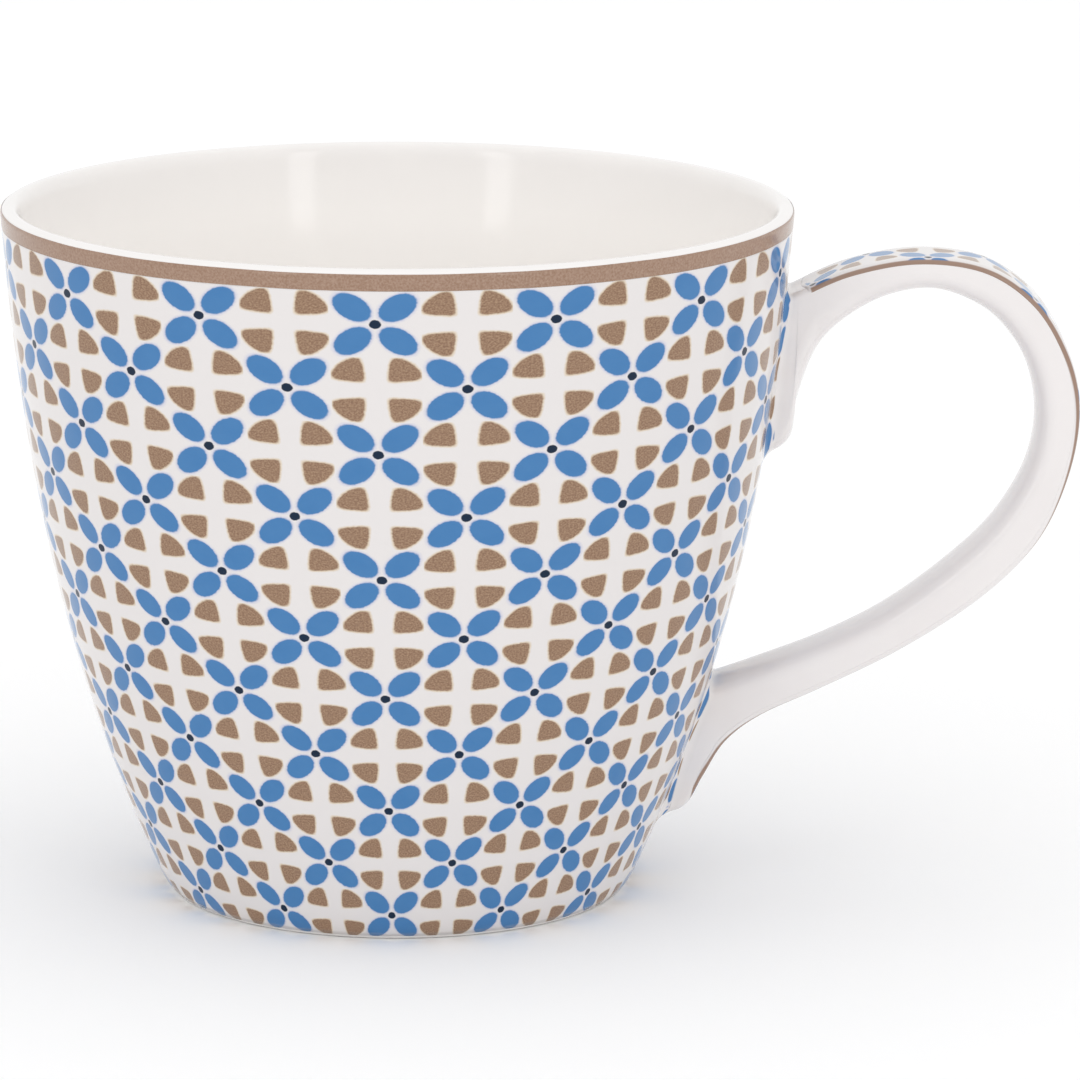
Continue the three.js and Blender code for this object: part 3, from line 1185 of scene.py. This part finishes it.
@dataclass
class WallTransfer:
    """One printed sheet: half the wall, from the band to just above the foot."""

    layout: CellLayout
    finish: Material
    side: Side
    holes: list[Array]
    lift: float = 0.04
    thickness: float = 0.02
    seam: float = 0.12
    edge_run: float = 1.2
    low_lift: float = 0.02
    top: float = 2.55
    last_row: float = 11.3
    columns: int = 200
    rows: int = 104

    def build(self) -> Object:
        """Lays a grid on the wall, opens it round the roots and gives it its thickness.

        The grid's points round an opening are moved to the nearest points of its ring. Towards
        the foot the sheet sinks a little, so its lower edge doesn't stand up.

        Returns:
            The sheet.
        """
        form = self.layout.form
        band, high = (float(form.run_at(form.crest - top)) for top in (self.layout.top, self.top))
        low = band - (self.last_row - 0.5) * self.layout.row_pitch
        half = 90 - math.degrees(self.seam / 2 / form.rim_radius)
        azimuth = self.side.value + np.linspace(-half, half, self.columns)
        grid = np.meshgrid(azimuth, np.linspace(low, high, self.rows))
        flat = np.stack([part.ravel() for part in grid], 1)
        quads = grid_quads(self.rows, self.columns)
        for hole in self.holes:
            gone = ring_inside(flat[quads].mean(1), hole)
            shared = np.intersect1d(quads[gone], quads[~gone])
            inner = shared[np.abs(flat[shared, 0] - self.side.value) < 2 * half - 90]
            apart = ((flat[inner, None] - hole[None]) ** 2).sum(-1)
            flat[inner] = hole[apart.argmin(1)]
            quads = quads[~gone]
        turn, climb = flat.T
        edge = np.clip((climb - low) / self.edge_run, 0, 1)
        points = form.on_wall(turn, climb, self.low_lift + (self.lift - self.low_lift) * edge)
        used, renumbered = np.unique(quads, return_inverse=True)
        sheet = put_mesh(f"wall_transfer_{self.side.name.lower()}_print", self.finish,
                         points[used], renumbered.reshape(-1, 4),
                         maps={"cells": self.layout.at(turn, climb)[used]})
        thicken(sheet, self.thickness)
        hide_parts(f"wall_transfer_{self.side.name.lower()}")
        return sheet


@dataclass
class PaintedBand:
    """The brown band: from its lower edge up the wall and a little way round the lip."""

    form: CupForm
    finish: Material
    bottom: float = 2.5
    lip_turn: float = 23.0
    lift: float = 0.05
    thickness: float = 0.03
    waver: float = 0.025
    lip_waver: float = 0.1
    lip_shift: int = 40
    waves: tuple[int, ...] = (3, 7, 12, 19, 31)

    def build(self) -> Object:
        """Turns a closed thin profile whose two edges waver a little, as a brush does.

        The waver is a sum of sines of the azimuth, each weaker as its waves get shorter.

        Returns:
            The band.
        """
        form = self.form
        low, rim = (float(form.run_at(h)) for h in (form.crest - self.bottom, form.rim_height))
        turn = np.linspace(0, 360, form.turns, endpoint=False)
        wave = sum(np.sin(np.radians(turn) * k + k * k) / k ** 0.5 for k in self.waves)
        start = low + self.waver * wave
        stop = self.lip_turn * (1 + self.lip_waver * np.roll(wave, self.lip_shift))
        climb = start + (rim - start) * np.linspace(0, 1, 8)[:, None]
        angle = np.radians(stop * np.linspace(0, 1, 7)[1:, None])
        half = form.lip_thickness / 2
        shells = []
        for lift in (self.lift, self.lift - self.thickness):
            lip = around(turn, form.rim_radius - half + (half + lift) * np.cos(angle),
                         form.rim_height + (form.lip_rise + lift) * np.sin(angle))
            shells.append(np.concatenate([form.on_wall(turn, climb, lift), lip]))
        grid = np.concatenate([shells[0], shells[1][::-1]])
        band = put_mesh("rim_band_paint", self.finish, grid.reshape(-1, 3),
                        grid_quads(len(grid), form.turns, True, True))
        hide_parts("rim_band")
        return band


@dataclass
class HandleTransfer:
    """The printed strip along the outer face of the strap."""

    form: HandleForm
    finish: Material
    pitch: float = 7.5
    crest_x: float = 66.5
    root_gap: float = 2.1
    toe_gap: float = 3.0
    end_round: float = 16.0
    lift: float = 0.03
    thickness: float = 0.02
    side_sink: float = 1.15
    side_power: int = 8
    reach_columns: int = 11
    rows: int = 240
    width_at: tuple[float, ...] = (0.0, 0.3, 0.45, 0.6, 0.82, 1.0)
    half_widths: tuple[float, ...] = (5.24, 5.24, 4.75, 4.15, 4.2, 5.1)

    def build(self) -> Object:
        """Lifts the strap's outer face and the tops of its rounded edges off as a skin.

        Rows are even along the face's middle line. Each line along the strap is drawn back at
        both ends by the depth of an arc, so the strip's two ends are rounded, and sides and ends
        sink to the strap.

        Returns:
            The strip.
        """
        form, middle = self.form, self.form.grid[:, 0]
        column = np.arange(-self.reach_columns, self.reach_columns + 1)
        patch = form.grid[:, column]
        normal = unit(np.cross(np.gradient(patch, axis=1), np.gradient(patch, axis=0)))
        halfway = form.stations // 2
        outward = middle[halfway] - middle.mean(0)
        normal *= np.sign((normal[halfway, self.reach_columns] * outward).sum())
        fade = 1 - self.side_sink * (np.abs(column) / self.reach_columns) ** self.side_power
        raised = patch + normal * (self.lift * fade)[:, None]
        run, station = run_along(middle), np.arange(form.stations)
        ends = [np.interp(form.crossing(0.0, lower)[0], station, run) for lower in (False, True)]
        side = run_along(patch[halfway])
        side = side - side[-1] / 2
        set_back = self.end_round - np.sqrt(self.end_round ** 2 - side ** 2)
        first = ends[0] + self.root_gap + set_back
        last = ends[1] - self.toe_gap - set_back
        s = first + (last - first) * np.linspace(0, 1, self.rows)[:, None]
        at = np.interp(s, run, station)
        grid = form.read(at, raised)
        grid[[0, -1]] -= form.read(at[[0, -1]], normal) * self.lift
        crest = run[np.argmin(np.abs(middle[:halfway, 0] - self.crest_x))]
        wide = np.broadcast_to(side, s.shape)
        half = np.interp((s - s[0]) / (s[-1] - s[0]), self.width_at, self.half_widths)
        maps = {"cells": np.stack([(s - crest) / self.pitch + 1, wide / self.pitch + 0.5], -1),
                "across": np.stack([np.abs(wide) / half, np.minimum(s - first, last - s)], -1)}
        strip = put_mesh("handle_transfer_print", self.finish, grid.reshape(-1, 3),
                         grid_quads(self.rows, len(column)),
                         maps={title: places.reshape(-1, 2) for title, places in maps.items()})
        thicken(strip, self.thickness)
        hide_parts("handle_transfer")
        return strip


# ---- the studio


@dataclass(frozen=True)
class Softbox:
    """An area light aimed at the mug: its place in degrees and metres, its size and its watts."""

    name: str
    azimuth: float
    rise: float
    away: float
    size: Pair
    watts: float
    aim: tuple[float, float, float] = (0.01, 0, 0.05)

    def hang(self) -> None:
        """Puts the light in its place."""
        data = bpy.data.lights.new(self.name, "AREA")
        data.shape, data.energy = "RECTANGLE", self.watts
        data.size, data.size_y = self.size
        rise = math.radians(self.rise)
        way = Vector(around(self.azimuth, math.cos(rise), math.sin(rise)))
        put_object(self.name, data).matrix_world = (
            Matrix.Translation(Vector(self.aim) + way * self.away)
            @ way.to_track_quat("Z", "Y").to_matrix().to_4x4())


@dataclass
class Studio:
    """Pale floor, soft lights and the camera."""

    elevation: float = 12.25
    distance: float = 0.8742
    lens: float = 229.4
    roll: float = 0.26
    aim_up: float = 0.6
    floor_tone: str = "#FFFFFF"
    floor_reach: float = 6000.0
    sky: float = 0.98
    lights: tuple[Softbox, ...] = (
        Softbox("overhead", 0, 82, 1.2, (1.4, 1.4), 0.9),
        Softbox("strip_0", -32, 19, 1.1, (0.16, 0.7), 0.6),
        Softbox("strip_1", 32, 19, 1.1, (0.16, 0.7), 0.6))

    def camera(self) -> None:
        """A long lens from the front, a little above the rim, aimed at the box's middle."""
        low, high = CAD_BOX
        aim = Vector(((low.x + high.x) / 2, 0, (low.z + high.z) / 2 + self.aim_up * MM))
        rise = math.radians(self.elevation)
        back = Vector((0, -math.cos(rise), math.sin(rise)))
        data = bpy.data.cameras.new("camera")
        data.lens, data.sensor_width = self.lens, 36
        data.clip_start, data.clip_end = 0.05, 50
        made = put_object("camera", data)
        turn = (-back).to_track_quat("-Z", "Y").to_matrix().to_4x4()
        spin = Matrix.Rotation(math.radians(self.roll), 4, "Z")
        made.matrix_world = Matrix.Translation(aim + back * self.distance) @ turn @ spin
        bpy.context.scene.camera = made

    def floor(self) -> None:
        """A wide pale matt sheet in the standing plane."""
        material = bpy.data.materials.new("pale_paper_floor")
        material.use_nodes = True
        shader = material.node_tree.nodes["Principled BSDF"]
        shader.inputs["Base Color"].default_value = hex_to_linear(self.floor_tone)
        shader.inputs["Roughness"].default_value = 0.9
        shader.inputs["Specular IOR Level"].default_value = 0.1
        corners = np.array([[-1, -1, 0], [1, -1, 0], [1, 1, 0], [-1, 1, 0]])
        put_mesh("floor", material, corners * self.floor_reach,
                          np.array([[0, 1, 2, 3]]))

    def build(self) -> None:
        """Sets the whole studio up."""
        scene = bpy.context.scene
        scene.view_settings.view_transform = "Standard"
        scene.world = bpy.data.worlds.new("white_tent")
        scene.world.use_nodes = True
        sky = scene.world.node_tree.nodes["Background"]
        sky.inputs["Color"].default_value = (1, 1, 1, 1)
        sky.inputs["Strength"].default_value = self.sky
        self.camera()
        self.floor()
        for light in self.lights:
            light.hang()


def report(pieces: list[Object]) -> None:
    """Puts each piece on the frame's one body and logs its size.

    Args:
        pieces: The finished pieces.
    """
    for piece in pieces:
        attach(piece, "root")
        LOG.info("%s: %d faces", piece.name, len(piece.data.polygons))


def main() -> None:
    """Builds the studio, then the mug from the cup outwards."""
    logging.basicConfig(level=logging.INFO, format="%(name)s: %(message)s")
    Studio().build()
    form = CupForm.from_frame()
    layout = CellLayout(form)
    strap = HandleForm(form)
    printed, lapped = PrintedCells().make(), PrintedBead().make()
    beads = [SlipBead(strap, layout, lapped, root) for root in Root]
    holes = [bead.hole() for bead in beads]
    pieces = [Cup(form, BowlGlazePaintedLighter().make(), BareBody().make()).build(),
              Handle(strap, ClearGlaze().make()).build()]
    pieces += [bead.build() for bead in beads]
    pieces += [WallTransfer(layout, printed, side, holes).build() for side in Side]
    pieces.append(PaintedBand(form, BandPaint().make()).build())
    pieces.append(HandleTransfer(strap, PrintedStrip().make()).build())
    report(pieces)


if __name__ == "__main__":
    main()
